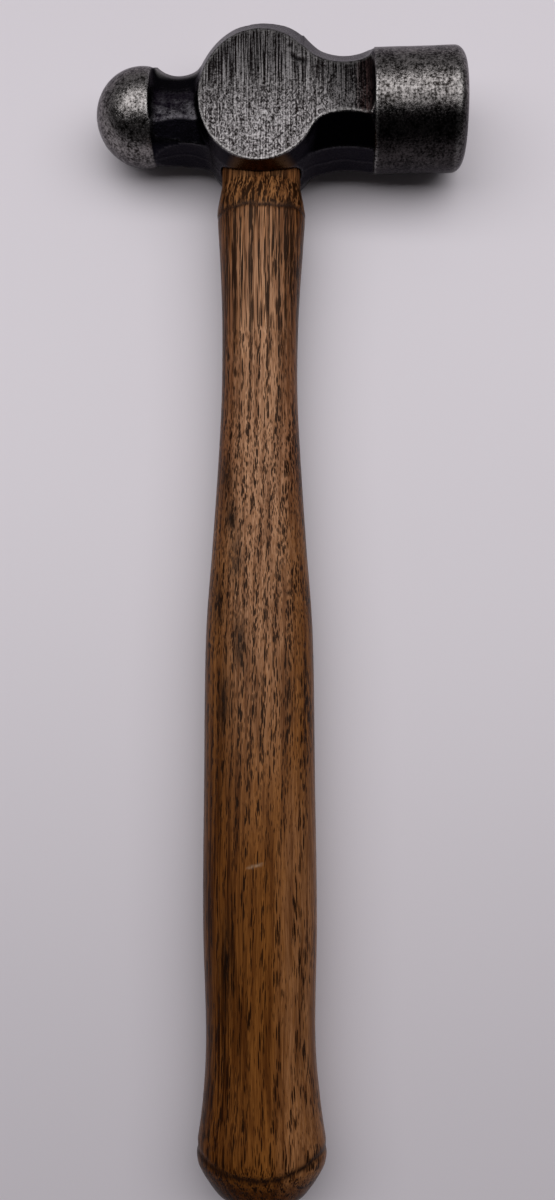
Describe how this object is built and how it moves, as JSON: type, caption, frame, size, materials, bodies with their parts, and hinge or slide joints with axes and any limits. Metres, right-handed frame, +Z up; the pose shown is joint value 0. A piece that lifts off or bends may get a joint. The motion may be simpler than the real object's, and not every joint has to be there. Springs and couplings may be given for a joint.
{
  "type": "ball peen hammer",
  "caption": "Machinist's ball peen hammer: forged steel head with a round striking face and a ball peen, on an oval hardwood handle held by wedges in the eye.",
  "frame": {"origin": "centre of the footprint, on the surface that the hammer lies on", "axes": "+Y along the handle from the butt to the top of the head, +X along the head from the ball to the striking face, +Z up through the thickness of the head as the hammer lies on its side"},
  "size_m": [0.1256, 0.3736, 0.0412],
  "materials": {
    "forged_steel": "dark forged carbon steel, worn and pitted, ground cheeks, black scale on the necks",
    "handle_wood": "oiled ring-porous hardwood, satin, dark open pores",
    "wedge_wood": "pale dry hardwood, sawn",
    "wedge_steel": "plain steel, dull"
  },
  "bodies": {
    "root": {"hammer_head": "forged_steel", "handle": "handle_wood", "wood_wedge": "wedge_wood", "steel_wedge_1": "wedge_steel", "steel_wedge_2": "wedge_steel"}
  },
  "joints": []
}
